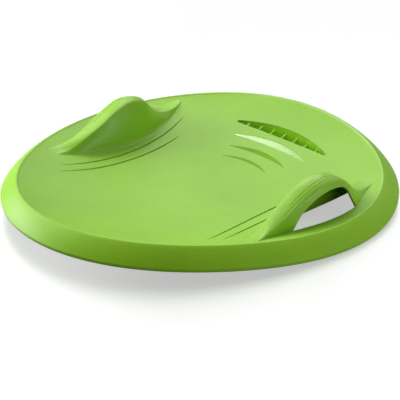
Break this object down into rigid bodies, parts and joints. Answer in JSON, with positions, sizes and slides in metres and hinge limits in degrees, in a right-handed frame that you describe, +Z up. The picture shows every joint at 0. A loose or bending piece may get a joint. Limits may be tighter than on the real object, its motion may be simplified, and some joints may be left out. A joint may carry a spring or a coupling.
{
  "type": "saucer sled",
  "caption": "Shallow dished plastic saucer sled with a rolled rim, arched side handles with finger openings, and a ribbed drain slot near the nose.",
  "frame": {"origin": "on the floor, under the middle of the plan", "axes": "+Z up, +Y towards the nose with the slot, +X towards the right handle"},
  "size_m": [0.5941, 0.6054, 0.0759],
  "materials": {
    "body": "fine moulded grain, satin",
    "grip": "fine cross ribs, satin"
  },
  "bodies": {
    "root": {"deck": "body", "rim": "body", "right_handle": "body", "left_handle": "body", "right_grip_strip": "grip", "left_grip_strip": "grip", "vent_grille": "body"}
  },
  "joints": []
}
